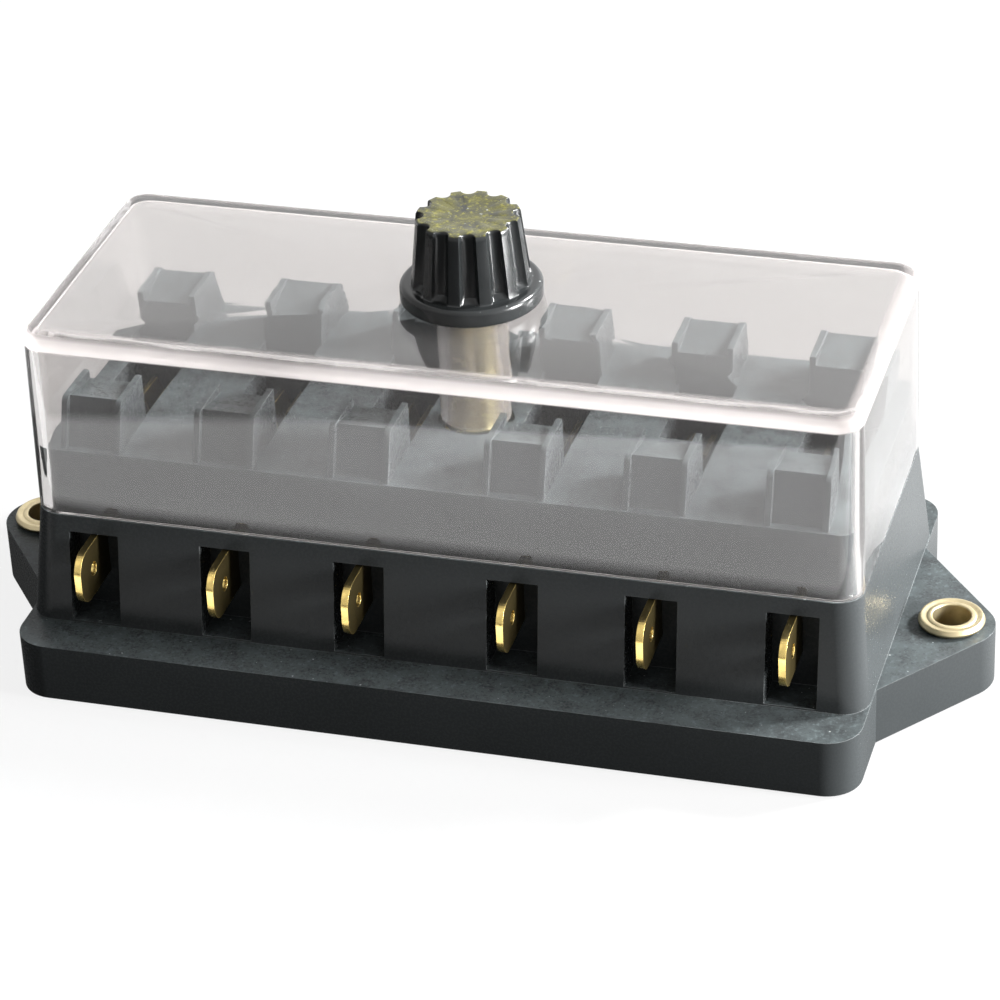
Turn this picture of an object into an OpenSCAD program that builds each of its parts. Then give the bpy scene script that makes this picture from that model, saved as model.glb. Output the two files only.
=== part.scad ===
// Six-way blade fuse block: black moulded base, brass terminals, clear screw-down cover.
// Millimetres. X runs along the row of fuses, Y to the back, Z up.
// The origin is at the middle of the underside.

/* [Housing] */
// Length of the housing at the cover's rim
housing_len = 94.4; // [86:0.2:108]
// Depth of the housing at the cover's rim
housing_w = 36.8; // [36:0.2:44]
// Height of the rim that the cover stands on
rim_h = 20; // [19.6:0.1:22]
// How far each end wall leans out between rim and foot
flare_x = 1.1; // [0.2:0.1:2]
// How far each long wall leans out between rim and foot
flare_y = 2.0; // [0.5:0.1:3]
// Radius of the housing's upright corners
corner_r = 3; // [2.4:0.1:5]

/* [Plinth] */
// Height of the plinth and its ledge
plinth_h = 7.2; // [5:0.1:9]
// Depth of the ledge in front of each long wall
ledge = 5.8; // [5.2:0.1:9]
// Radius of the plinth's upright corners
plinth_r = 4; // [2:0.5:7]
// Depth of the shallow pans in the underside
pan_depth = 1.2; // [0.4:0.1:2]
// Width of the ribs between the pans
pan_rib = 2.4; // [1.5:0.1:4]
// Width of the border around the pans
pan_border = 4; // [3:0.5:8]
// Height of the flat land that the plinth stands on
land_h = 0.3; // [0.2:0.05:0.6]
// How far the land's edge stays inside the plinth's edge
land_inset = 1.5; // [1.3:0.1:2.5]

/* [Lugs] */
// Distance from the foot of an end wall to the lug's hole
lug_reach = 5.7; // [5:0.1:12]
// Width of a lug where it leaves the end wall
lug_root_w = 30.2; // [20:0.2:34]
// Radius of a lug's rounded tip
lug_tip_r = 4.9; // [4.4:0.1:5.2]
// Thickness of a lug
lug_h = 7.2; // [4:0.1:8]

/* [Eyelets] */
// Bore of a mounting eyelet
eyelet_bore = 4.3; // [3.5:0.1:4.7]
// Wall of an eyelet's barrel
eyelet_wall = 0.5; // [0.3:0.05:0.8]
// Outside diameter of an eyelet's flange
eyelet_flange_d = 7.5; // [7:0.1:8.6]
// Height of an eyelet's flange above the lug
eyelet_flange_h = 1.1; // [0.5:0.1:1.4]

/* [Fuse ways] */
// Distance from the deck's end to the middle of the outer way
end_room = 5.7; // [5:0.1:6.4]
// Distance between the two middle ways, which leave room for the screw
mid_pitch = 17.6; // [16.8:0.1:19]
// Height of the deck above the rim
deck_rise = 7.9; // [7:0.1:10]
// Length of the blade fuse that a way takes
fuse_len = 19.1; // [18:0.1:20]
// Length of the fuse's lower body, which goes down between the blocks
neck_len = 15.8; // [15:0.1:16.6]
// Distance over the outer edges of a fuse's two blades
blade_span = 14.6; // [13.4:0.1:15.4]
// Width of one fuse blade
blade_w = 5.2; // [4.4:0.1:5.4]
// Width of a fuse pocket
pocket_w = 6.6; // [5.8:0.1:7]
// Depth of the step under the fuse's lower body
seat_drop = 1.2; // [0.6:0.1:2]
// Height of a fuse block above the deck
block_h = 5.6; // [4:0.1:6.2]
// How far a block's outer face leans in over its height
block_lean = 1.9; // [0.5:0.1:2.4]
// Thickness of the blade fuse that a way takes
fuse_t = 5.1; // [4.6:0.05:5.4]
// Room on each side of a fuse between the cheeks
side_play = 0.25; // [0.1:0.05:0.4]
// Radius of a cheek's upper corners
cheek_round = 0.9; // [0.3:0.1:1.5]
// Thickness of a fuse block's side cheeks
cheek_t = 0.7; // [0.6:0.05:1.2]
// How far the saddle under the fuse's shoulder stays below the cheeks
saddle_drop = 1.1; // [0.3:0.1:1.6]
// How far a block's outer face stays behind its cheeks
face_drop = 0.7; // [0.3:0.1:1.5]

/* [Terminals] */
// Width of a flat tab
tab_w = 6.3; // [4.8:0.1:6.6]
// Thickness of the terminal strip
tab_t = 0.8; // [0.6:0.05:1]
// How far a tab stands out of the long wall
tab_reach = 5; // [3.5:0.1:5.2]
// Height of a tab's middle above the underside
tab_h = 14.7; // [14.2:0.1:15.4]
// Radius of a tab's nose corners
tab_nose_r = 2.3; // [0.5:0.1:2.3]
// Diameter of the hole in a tab
tab_hole_d = 1.6; // [1:0.1:2.4]
// Distance from a tab's tip to its hole
tab_hole_in = 3.8; // [3:0.1:5.4]
// Thickness of the spring leaves of a fork
leaf_t = 0.5; // [0.4:0.05:0.6]
// Gap between the spring leaves at their throat
throat = 0.55; // [0.4:0.05:0.65]
// Width of a fork at its foot
fork_foot_w = 3.4; // [2.6:0.1:4]
// Width of a fork's flared mouth
fork_mouth_w = 3; // [2.2:0.1:4]
// How far a fork's mouth stays below the fuse seat
fork_below = 2; // [0.4:0.1:3]

/* [Tab recesses] */
// Width of a tab recess in the long wall
bay_w = 5.8; // [4.5:0.1:8]
// Room under and over a tab between its pocket floor and its recess's roof
tab_room = 0.25; // [0.1:0.05:0.6]
// Depth of a recess behind the long wall at the rim
bay_depth = 2.6; // [1.2:0.1:3.2]
// Height of a recess's sill above the ledge
bay_sill = 0.2; // [0.1:0.1:0.6]

/* [Cover] */
// Height of the cover
cover_h = 22.7; // [20:0.1:28]
// Thickness of the cover's walls
cover_wall = 1.2; // [1:0.1:2]
// Thickness of the cover's top plate
cover_top_t = 2; // [1.2:0.1:3]
// Radius around the cover's top edge
cover_round = 1.6; // [0.8:0.1:2]
// How far each cover wall leans in over its height
cover_lean = 0.2; // [0:0.05:0.25]
// Gap between the cover's wall and the deck inside it
cover_gap = 0.3; // [0.2:0.05:0.8]
// Outside diameter of the tube under the cover
tube_d = 8; // [7.8:0.1:9]

/* [Screw] */
// Diameter of the cover screw
screw_d = 5; // [4:0.1:5.4]
// Radial clearance of the screw in the insert
thread_fit = 0.06; // [0.02:0.01:0.1]
// Radial clearance of the screw in the tube and the top plate
tube_play = 0.4; // [0.2:0.05:0.6]
// Outside diameter of the threaded insert
insert_d = 7.4; // [7:0.1:8]
// Length of the threaded insert
insert_len = 11; // [6:0.5:12]
// Thickness of the retaining ring
ring_t = 0.7; // [0.4:0.05:1]
// Depth of the ring's groove in the screw
groove = 0.25; // [0.15:0.05:0.4]
// Radial width of the retaining ring
ring_w = 1.3; // [0.9:0.1:1.5]

/* [Knob] */
// Height of the knob above its skirt's underside
knob_h = 10; // [8:0.1:16]
// Diameter of the knob's grip above the skirt
grip_d = 13.4; // [11:0.1:15]
// Diameter of the knob's top
grip_top_d = 11.6; // [9:0.1:14]
// Diameter of the skirt
skirt_d = 15.9; // [15.6:0.1:24]
// Thickness of the skirt
skirt_t = 2; // [1.2:0.1:3]
// Number of flutes around the grip
flutes = 12; // [8:1:16]
// Depth of a flute
flute_depth = 0.95; // [0.3:0.05:1.1]
// Bevel around the knob's top
knob_edge = 0.3; // [0.2:0.1:1]
// Depth of the hole in the knob that holds the screw
knob_socket = 6; // [3:0.5:7]

/* [Hidden] */

black_plastic = [0.09, 0.09, 0.1];
brass = [0.78, 0.6, 0.26];
clear_plastic = [0.86, 0.88, 0.9, 0.35];

// Room left round a piece that is pressed or moulded into another
press = 0.03;
// Room between flat faces that turn on each other
face_gap = 0.2;
// Overshoot of a cut past the face it opens
cut = 1;

// Half sizes of the housing at its rim and at its foot, and of the plinth
rim_x = housing_len / 2;
rim_y = housing_w / 2;
foot_x = rim_x + flare_x;
foot_y = rim_y + flare_y;
plinth_x = foot_x + 0.1;
plinth_y = foot_y + ledge;

// The deck is the part of the base that stands inside the cover
deck_h = rim_h + deck_rise;
deck_x = rim_x - cover_wall - cover_gap;
deck_y = rim_y - cover_wall - cover_gap;
deck_r = max(corner_r - cover_wall - 0.6, 0.8);
block_in = neck_len / 2 + 0.1;
block_out = deck_y - 0.3;
block_top = deck_h + block_h;
block_w = fuse_t + 2 * side_play + 2 * cheek_t;
seat_h = deck_h - seat_drop;
pocket_y = blade_span / 2 + 0.3;

// Distance between neighbouring ways on either side of the screw
pitch = (deck_x - end_room - mid_pitch / 2) / 2;

// Place of the lug holes
hole_x = foot_x + lug_reach;
barrel_r = eyelet_bore / 2 + eyelet_wall;
// The small roll at the eyelet's lower end, and where it ends above the underside
foot_roll = 0.7;
roll_h = 0.5;
eyelet_foot = land_h + 0.2;

// Long wall's half depth at height z, and where the tabs and recesses lie
function wall_y(z) = foot_y - flare_y * (z - plinth_h) / (rim_h - plinth_h);
tab_tip = wall_y(tab_h) + tab_reach;
bay_in = rim_y - bay_depth;
fork_in = blade_span / 2 - blade_w;
fork_out = blade_span / 2;
fork_top = seat_h - fork_below;
strip_low = tab_h - tab_w / 2;
pocket_floor = strip_low - tab_room;
bay_top = strip_low + tab_w + tab_room;
web_h = strip_low + 2;

// Cover, screw and knob
cover_top = rim_h + cover_h;
tube_bottom = deck_h + face_gap;
screw_r = screw_d / 2;
ring_top = tube_bottom - face_gap;
ring_r = screw_r - groove + ring_w;
well_r = tube_d / 2 + 0.3;
well_h = ring_top - ring_t - 0.5;
insert_bottom = well_h - insert_len;
skirt_h = cover_top + face_gap;
screw_top = skirt_h + knob_socket - 0.2;
screw_bottom = insert_bottom - 0.6;

// Middle of way i, counted 1 to 6 from the left
function way_x(i) = i <= 3 ? -(mid_pitch / 2 + (3 - i) * pitch) : mid_pitch / 2 + (i - 4) * pitch;

// Flat plate with round corners, made of true arcs
module round_plate(hx, hy, r, h) {
    linear_extrude(height = h) union() {
        square([2 * (hx - r), 2 * hy], center = true);
        square([2 * hx, 2 * (hy - r)], center = true);
        for (sx = [-1, 1], sy = [-1, 1])
            translate([sx * (hx - r), sy * (hy - r)]) circle(r = r, $fn = 48);
    }
}

// Housing between foot and rim, leaning in on all four sides
module leaning_housing() {
    hull() for (sx = [-1, 1], sy = [-1, 1]) {
        translate([sx * (foot_x - corner_r), sy * (foot_y - corner_r), plinth_h - 1])
            cylinder(r = corner_r, h = 1, $fn = 32);
        translate([sx * (rim_x - corner_r), sy * (rim_y - corner_r), rim_h - 0.6])
            cylinder(r = corner_r, h = 0.6, $fn = 32);
    }
}

// Outline of one lug: straight sides that run tangent into a round tip
module lug_outline() {
    half = lug_root_w / 2;
    far = sqrt(lug_reach * lug_reach + half * half);
    turn = 180 - atan2(half, lug_reach) - acos(lug_tip_r / far);
    tx = hole_x + lug_tip_r * cos(turn);
    ty = lug_tip_r * sin(turn);
    polygon([[foot_x - 2, -half], [foot_x, -half], [tx, -ty], [tx, ty], [foot_x, half], [foot_x - 2, half]]);
    translate([hole_x, 0]) circle(r = lug_tip_r, $fn = 64);
}

// One lug with the hole for its eyelet, on the right-hand end
module lug() {
    difference() {
        translate([0, 0, land_h]) linear_extrude(height = lug_h - land_h) lug_outline();
        translate([hole_x, 0, -cut]) cylinder(r = barrel_r + press, h = lug_h + 2 * cut, $fn = 64);
        translate([hole_x, 0, -cut])
            cylinder(r = barrel_r + foot_roll + 0.1, h = cut + eyelet_foot + roll_h + 0.05, $fn = 64);
    }
}

// Cheek of a fuse block seen from the side: upright inside, leaning outside, with a round corner
module cheek_outline() {
    r = cheek_round;
    lean = atan(block_lean / block_h);
    y = block_out - block_lean - r * (1 - sin(lean)) / cos(lean);
    polygon([
        [block_in, deck_h - 0.5],
        [block_in, block_top],
        [y, block_top],
        [y + r * cos(lean), block_top - r + r * sin(lean)],
        [block_out, deck_h],
        [block_out, deck_h - 0.5]
    ]);
    translate([y, block_top - r]) circle(r = r, $fn = 32);
}

// Core of a fuse block: a level saddle under the fuse's shoulder that rises to the outer edge
module saddle_outline() {
    seat = block_top - saddle_drop;
    out = block_out - face_drop;
    polygon([
        [block_in, deck_h - 0.5],
        [block_in, seat],
        [fuse_len / 2 + 0.15, seat],
        [out - block_lean, block_top - 0.1],
        [out, deck_h],
        [out, deck_h - 0.5]
    ]);
}

// Raised block at the end of a fuse way: a saddle between two cheeks
module fuse_block() {
    for (s = [-1, 1])
        translate([s * (block_w - cheek_t) / 2, 0, 0])
            rotate([90, 0, 90]) linear_extrude(height = cheek_t, center = true) cheek_outline();
    rotate([90, 0, 90]) linear_extrude(height = block_w - 2 * cheek_t + 0.2, center = true) saddle_outline();
}

// Stepped pocket that a fuse drops into, with the forks in its lower part
module fuse_pocket() {
    translate([-pocket_w / 2, -block_in, seat_h]) cube([pocket_w, 2 * block_in, seat_drop + cut]);
    translate([-pocket_w / 2, -pocket_y, pocket_floor]) cube([pocket_w, 2 * pocket_y, deck_h]);
}

// Recess around one tab and the slot that its strip passes through
module tab_way() {
    translate([-bay_w / 2, bay_in, plinth_h + bay_sill])
        cube([bay_w, foot_y + cut - bay_in, bay_top - plinth_h - bay_sill]);
    translate([-tab_t / 2 - press, pocket_y - cut, strip_low - press])
        cube([tab_t + 2 * press, bay_in - pocket_y + 2 * cut, tab_w + 2 * press]);
}

module base_housing() {
    color(black_plastic) difference() {
        union() {
            translate([0, 0, land_h]) round_plate(plinth_x, plinth_y, plinth_r, plinth_h - land_h);
            translate([-(plinth_x - land_inset), -(plinth_y - land_inset), 0])
                cube([2 * (plinth_x - land_inset), 2 * (plinth_y - land_inset), land_h + cut]);
            leaning_housing();
            translate([0, 0, rim_h - 1]) round_plate(deck_x, deck_y, deck_r, deck_rise + 1);
            lug();
            mirror([1, 0, 0]) lug();
            for (i = [1 : 6]) translate([way_x(i), 0, 0]) {
                fuse_block();
                mirror([0, 1, 0]) fuse_block();
            }
        }
        for (i = [1 : 6]) translate([way_x(i), 0, 0]) {
            fuse_pocket();
            tab_way();
            mirror([0, 1, 0]) tab_way();
            translate([-(pitch - pan_rib) / 2, -(plinth_y - pan_border), -cut])
                cube([pitch - pan_rib, 2 * (plinth_y - pan_border), pan_depth + cut]);
        }
        translate([0, 0, insert_bottom]) cylinder(r = insert_d / 2 + press, h = deck_h, $fn = 64);
        translate([0, 0, screw_bottom - 0.6]) cylinder(r = screw_r + 0.3, h = deck_h, $fn = 48);
        translate([0, 0, well_h]) cylinder(r = well_r, h = deck_h, $fn = 64);
    }
}

// Strip of one terminal from the side: flat tab with a round nose, then the low strip under the fork
module strip_outline() {
    r = tab_nose_r;
    translate([-tab_tip + r, strip_low]) square([tab_tip - r - fork_out, tab_w]);
    translate([-tab_tip, strip_low + r]) square([r + 1, tab_w - 2 * r]);
    for (z = [strip_low + r, strip_low + tab_w - r]) translate([-tab_tip + r, z]) circle(r = r, $fn = 48);
    translate([-fork_out - 1, strip_low]) square([fork_out + 1 - fork_in, web_h - strip_low]);
}

// Right-hand spring leaf of a fork, from its foot over the throat to the flared mouth
module leaf_outline() {
    half = leaf_t / 2;
    path = [
        [fork_foot_w / 2 - half, web_h - leaf_t],
        [fork_foot_w / 2 - half, web_h + 2.4],
        [throat / 2 + half, fork_top - 2.8],
        [throat / 2 + half, fork_top - 2.2],
        [fork_mouth_w / 2 - half, fork_top]
    ];
    outer = [for (p = path) p + [half, 0]];
    inner = [for (k = [len(path) - 1 : -1 : 0]) path[k] - [half, 0]];
    polygon(concat(outer, inner));
}

// One brass terminal whose tab points to the front
module terminal() {
    color(brass) union() {
        difference() {
            rotate([90, 0, 90]) linear_extrude(height = tab_t, center = true) strip_outline();
            translate([-cut, -tab_tip + tab_hole_in, tab_h]) rotate([0, 90, 0])
                cylinder(d = tab_hole_d, h = 2 * cut, $fn = 32);
        }
        translate([0, -fork_in, 0]) rotate([90, 0, 0]) linear_extrude(height = blade_w) {
            leaf_outline();
            mirror([1, 0]) leaf_outline();
            translate([-fork_foot_w / 2, web_h - leaf_t]) square([fork_foot_w, leaf_t]);
        }
    }
}

module front_terminal(i) { translate([way_x(i), 0, 0]) terminal(); }
module rear_terminal(i) { translate([way_x(i), 0, 0]) rotate([0, 0, 180]) terminal(); }

// Rolled brass eyelet: barrel, domed flange on the lug and a small roll under it
module eyelet() {
    color(brass) translate([hole_x, 0, 0]) rotate_extrude($fn = 96) {
        inner = eyelet_bore / 2;
        h = eyelet_flange_h;
        low = eyelet_foot;
        translate([inner, low]) square([eyelet_wall, lug_h + h / 2 - low]);
        translate([inner + h / 4, lug_h]) square([eyelet_flange_d / 2 - inner - 3 * h / 4, h]);
        translate([inner, lug_h]) square([h / 2, 3 * h / 4]);
        translate([inner + h / 4, lug_h + 3 * h / 4]) circle(r = h / 4, $fn = 32);
        translate([eyelet_flange_d / 2 - h / 2, lug_h + h / 2]) circle(r = h / 2, $fn = 32);
        translate([inner, low]) square([eyelet_wall + foot_roll, roll_h]);
    }
}

module left_eyelet() { mirror([1, 0, 0]) eyelet(); }
module right_eyelet() { eyelet(); }

// Brass insert in the middle of the deck, bored for the screw
module threaded_insert() {
    color(brass) translate([0, 0, insert_bottom]) difference() {
        cylinder(d = insert_d, h = insert_len, $fn = 64);
        translate([0, 0, -cut]) cylinder(r = screw_r + thread_fit, h = insert_len + 2 * cut, $fn = 64);
    }
}

// Outer skin of the cover with its round top edge
module cover_skin() {
    hull() for (sx = [-1, 1], sy = [-1, 1]) {
        translate([sx * (rim_x - corner_r), sy * (rim_y - corner_r), rim_h])
            cylinder(r = corner_r, h = 0.5, $fn = 32);
        translate([
            sx * (rim_x - cover_lean - corner_r),
            sy * (rim_y - cover_lean - corner_r),
            cover_top - cover_round
        ]) rotate_extrude($fn = 32) {
            square([corner_r - cover_round, cover_round]);
            intersection() {
                translate([corner_r - cover_round, 0]) circle(r = cover_round, $fn = 32);
                square([corner_r, cover_round]);
            }
        }
    }
}

// Space inside the cover
module cover_room() {
    r = max(corner_r - cover_wall, 0.8);
    hull() for (sx = [-1, 1], sy = [-1, 1]) {
        translate([sx * (rim_x - cover_wall - r), sy * (rim_y - cover_wall - r), rim_h - cut])
            cylinder(r = r, h = cut, $fn = 32);
        translate([
            sx * (rim_x - cover_lean - cover_wall - r),
            sy * (rim_y - cover_lean - cover_wall - r),
            cover_top - cover_top_t - 0.5
        ]) cylinder(r = r, h = 0.5, $fn = 32);
    }
}

module cover() {
    color(clear_plastic) difference() {
        union() {
            difference() {
                cover_skin();
                cover_room();
            }
            translate([0, 0, tube_bottom]) cylinder(d = tube_d, h = cover_top - tube_bottom - 0.5, $fn = 64);
        }
        translate([0, 0, tube_bottom - cut])
            cylinder(r = screw_r + tube_play, h = cover_top - tube_bottom + 2 * cut, $fn = 64);
    }
}

// Star-shaped section of the grip, one round flute for each finger hold
module grip_section() {
    r = grip_d / 2;
    flute_r = 0.62 * 3.14 * r / flutes;
    difference() {
        circle(r = r, $fn = 96);
        for (k = [0 : flutes - 1]) rotate(360 * (k + 0.5) / flutes)
            translate([r + flute_r - flute_depth, 0]) circle(r = flute_r, $fn = 24);
    }
}

module knob() {
    grip_h = knob_h - skirt_t - knob_edge;
    narrow = grip_top_d / grip_d;
    color(black_plastic) difference() {
        union() {
            translate([0, 0, skirt_h]) rotate_extrude($fn = 96) {
                square([skirt_d / 2 - skirt_t / 3, skirt_t]);
                square([skirt_d / 2, 2 * skirt_t / 3]);
                translate([skirt_d / 2 - skirt_t / 3, 2 * skirt_t / 3]) circle(r = skirt_t / 3, $fn = 32);
            }
            translate([0, 0, skirt_h + skirt_t - 0.2]) linear_extrude(height = grip_h + 0.2, scale = narrow)
                grip_section();
            translate([0, 0, skirt_h + skirt_t + grip_h])
                linear_extrude(height = knob_edge, scale = 1 - 2 * knob_edge / grip_top_d)
                    scale([narrow, narrow]) grip_section();
        }
        translate([0, 0, skirt_h - cut]) cylinder(r = screw_r + press, h = knob_socket + cut, $fn = 64);
    }
}

// Cover screw: plain shank with a groove for the retaining ring and a tapered point
module knob_screw() {
    low = ring_top - ring_t - 0.05;
    high = ring_top + 0.05;
    color(brass) rotate_extrude($fn = 96) polygon([
        [0, screw_bottom],
        [screw_r - 0.8, screw_bottom],
        [screw_r, screw_bottom + 0.8],
        [screw_r, low],
        [screw_r - groove, low],
        [screw_r - groove, high],
        [screw_r, high],
        [screw_r, screw_top],
        [0, screw_top]
    ]);
}

// Split ring that keeps the screw in the cover when it is undone
module retaining_ring() {
    color(brass) translate([0, 0, ring_top - ring_t]) difference() {
        cylinder(r = ring_r, h = ring_t, $fn = 64);
        translate([0, 0, -cut]) cylinder(r = screw_r - groove + press, h = ring_t + 2 * cut, $fn = 64);
        translate([0, -0.6, -cut]) cube([ring_r + cut, 1.2, ring_t + 2 * cut]);
    }
}

base_housing();
front_terminal(1);  // front_terminal_1
front_terminal(2);  // front_terminal_2
front_terminal(3);  // front_terminal_3
front_terminal(4);  // front_terminal_4
front_terminal(5);  // front_terminal_5
front_terminal(6);  // front_terminal_6
rear_terminal(1);  // rear_terminal_1
rear_terminal(2);  // rear_terminal_2
rear_terminal(3);  // rear_terminal_3
rear_terminal(4);  // rear_terminal_4
rear_terminal(5);  // rear_terminal_5
rear_terminal(6);  // rear_terminal_6
left_eyelet();
right_eyelet();
threaded_insert();
cover();
knob();
knob_screw();
retaining_ring();
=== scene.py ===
"""Finish of the blade fuse block: moulded black base, brass terminals and eyelets, clear cover, fluted knob and its screw."""

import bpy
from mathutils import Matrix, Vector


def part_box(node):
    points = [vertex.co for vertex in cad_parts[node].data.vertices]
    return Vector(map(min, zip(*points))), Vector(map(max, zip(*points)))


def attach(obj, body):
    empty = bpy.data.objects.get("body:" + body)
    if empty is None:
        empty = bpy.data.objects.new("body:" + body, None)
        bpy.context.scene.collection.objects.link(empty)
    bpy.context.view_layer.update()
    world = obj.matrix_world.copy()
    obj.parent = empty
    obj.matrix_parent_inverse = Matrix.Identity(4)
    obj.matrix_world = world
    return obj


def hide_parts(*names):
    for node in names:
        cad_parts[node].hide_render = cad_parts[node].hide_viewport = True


bl_info = {
    "name": "Blade fuse block finish",
    "version": (1, 0, 0),
    "blender": (4, 5, 0),
    "location": "View3D > Sidebar > Fuse block",
    "description": "Builds the finished pieces and materials of a six-way blade fuse block",
    "category": "Object",
}

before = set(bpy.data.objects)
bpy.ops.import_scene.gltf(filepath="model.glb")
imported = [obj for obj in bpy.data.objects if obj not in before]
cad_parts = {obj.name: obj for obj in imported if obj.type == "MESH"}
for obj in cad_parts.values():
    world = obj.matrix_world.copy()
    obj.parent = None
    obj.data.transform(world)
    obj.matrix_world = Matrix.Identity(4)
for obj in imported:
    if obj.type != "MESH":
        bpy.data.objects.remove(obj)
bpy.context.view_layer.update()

import math

import bmesh
import bpy
from bpy.props import FloatProperty, FloatVectorProperty, IntProperty, PointerProperty
from mathutils import Matrix, Vector

MM = 0.001
FRONT = [f"front_terminal_{i}" for i in range(1, 7)]
REAR = [f"rear_terminal_{i}" for i in range(1, 7)]


def middle(node):
    """Middle of a CAD node's box."""
    low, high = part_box(node)
    return (low + high) / 2


# ---------------------------------------------------------------- node graphs


class Socket:
    """One output of a node. Arithmetic on it adds Math nodes to its graph."""

    def __init__(self, graph, output):
        self.graph, self.output = graph, output

    def maths(self, operation, *others):
        return self.graph.node("ShaderNodeMath", {"operation": operation}, dict(enumerate((self, *others))))

    def __add__(self, other):
        return self.maths("ADD", other)

    def __sub__(self, other):
        return self.maths("SUBTRACT", other)

    def __mul__(self, other):
        return self.maths("MULTIPLY", other)

    def __truediv__(self, other):
        return self.maths("DIVIDE", other)

    def __pow__(self, other):
        return self.maths("POWER", other)

    def __neg__(self):
        return self * -1.0

    def __rsub__(self, other):
        return -self + other

    __radd__, __rmul__ = __add__, __mul__

    def above(self, other):
        return self.maths("GREATER_THAN", other)

    def clamped(self):
        return self.maths("MAXIMUM", 0.0).maths("MINIMUM", 1.0)

    def ramp(self, low, high):
        """0 below low, 1 above high, straight in between."""
        return ((self - low) / (high - low)).clamped()


class Graph:
    """A node tree with one method that adds any node."""

    def __init__(self, tree):
        self.tree = tree

    def plug(self, socket, value):
        if isinstance(value, Socket):
            self.tree.links.new(value.output, socket)
        elif value is not None:
            socket.default_value = value

    def node(self, kind, settings=None, inputs=None, out=0):
        """Adds a node, sets its settings and a ramp's stops, then its sockets, and returns one of its outputs."""
        made = self.tree.nodes.new(kind)
        settings = dict(settings or {})
        stops = settings.pop("stops", None)
        for name, value in settings.items():
            setattr(made, name, value)
        if stops:
            while len(made.color_ramp.elements) < len(stops):
                made.color_ramp.elements.new(0.5)
            for stop, (place, colour) in zip(made.color_ramp.elements, stops):
                stop.position, stop.color = place, colour
        for key, value in (inputs or {}).items():
            self.plug(made.inputs[key], value)
        return Socket(self, made.outputs[out]) if len(made.outputs) else None

    def mix(self, share, first, second):
        """Colour between first and second."""
        return self.node(
            "ShaderNodeMix", {"data_type": "RGBA"}, {0: share, 6: first, 7: second}, 2
        )

    def noise(self, place, size, detail=3.0, rough=0.55, out=0):
        """Noise whose blobs are about size millimetres across."""
        values = {"Vector": place, "Scale": 1000.0 / size, "Detail": detail, "Roughness": rough}
        return self.node("ShaderNodeTexNoise", None, values, out)


def rgba(colour):
    return (*tuple(colour)[:3], 1.0)


class Finish(Graph):
    """A new material with an empty graph."""

    def __init__(self, name):
        self.material = bpy.data.materials.new(name)
        self.material.use_nodes = True
        super().__init__(self.material.node_tree)
        self.tree.nodes.clear()
        self.place = self.node("ShaderNodeTexCoord", out="Object")

    def surface(self, shader):
        self.node("ShaderNodeOutputMaterial", None, {"Surface": shader})
        return self.material

    def principled(self, **sockets):
        values = {name.replace("_", " "): value for name, value in sockets.items()}
        return self.node("ShaderNodeBsdfPrincipled", None, values)

    def bump(self, height, distance, strength=1.0, normal=None):
        values = {"Height": height, "Distance": distance * MM, "Strength": strength, "Normal": normal}
        return self.node("ShaderNodeBump", None, values)

    def wall_share(self):
        """1 on upright faces, 0 on level ones."""
        normal = self.node("ShaderNodeNewGeometry", out="Normal")
        tilt = self.node("ShaderNodeSeparateXYZ", None, {"Vector": normal}, "Z").maths("ABSOLUTE")
        return 1.0 - tilt.ramp(0.55, 0.85)

    def facing_up(self):
        """1 on faces that look straight up, 0 on walls."""
        normal = self.node("ShaderNodeNewGeometry", out="Normal")
        return self.node("ShaderNodeSeparateXYZ", None, {"Vector": normal}, "Z")


# ---------------------------------------------------------------- mesh helpers


def settle(mesh, name, material, body, replaced=(), smooth=32.0, flat=False):
    """Makes a mesh a finished piece that rides on its body and stands for its CAD nodes."""
    mesh.name = name
    mesh.materials.clear()
    mesh.materials.append(material)
    mesh.shade_smooth()
    mesh.set_sharp_from_angle(angle=math.radians(smooth))
    if flat:
        mesh = with_level_faces(mesh)
        mesh.name = name
    piece = bpy.data.objects.new(name, mesh)
    bpy.context.scene.collection.objects.link(piece)
    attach(piece, body)
    if replaced:
        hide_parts(*replaced)
    if not len(mesh.polygons):
        raise RuntimeError(f"{name} came out with no faces")
    return piece


def scratch(name, mesh):
    """An object that is only used to build others."""
    made = bpy.data.objects.new(name, mesh)
    bpy.context.scene.collection.objects.link(made)
    return made


def evaluated(made):
    """Plain mesh of an object with its modifiers applied. The object itself is removed."""
    bpy.context.view_layer.update()
    depsgraph = bpy.context.evaluated_depsgraph_get()
    mesh = bpy.data.meshes.new_from_object(made.evaluated_get(depsgraph), depsgraph=depsgraph)
    bpy.data.objects.remove(made)
    return mesh


def with_level_faces(mesh):
    """Mesh whose large faces keep their own normal, so that only the rounding between them bends the light."""
    made = scratch("level_faces", mesh)
    normals = made.modifiers.new("normals", "WEIGHTED_NORMAL")
    normals.mode, normals.weight, normals.keep_sharp = "FACE_AREA", 50, True
    return evaluated(made)


def merged_copy(node):
    """Copy of a CAD node's mesh with its loose triangles joined into flat faces."""
    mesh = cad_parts[node].data.copy()
    work = bmesh.new()
    work.from_mesh(mesh)
    bmesh.ops.remove_doubles(work, verts=work.verts, dist=3e-6)
    bmesh.ops.dissolve_degenerate(work, edges=work.edges, dist=2e-6)
    bmesh.ops.dissolve_limit(work, angle_limit=math.radians(0.6), verts=work.verts, edges=work.edges)
    work.to_mesh(mesh)
    work.free()
    for name in [a.name for a in mesh.attributes if a.name.startswith(("sharp", "custom"))]:
        mesh.attributes.remove(mesh.attributes[name])
    return mesh


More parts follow.
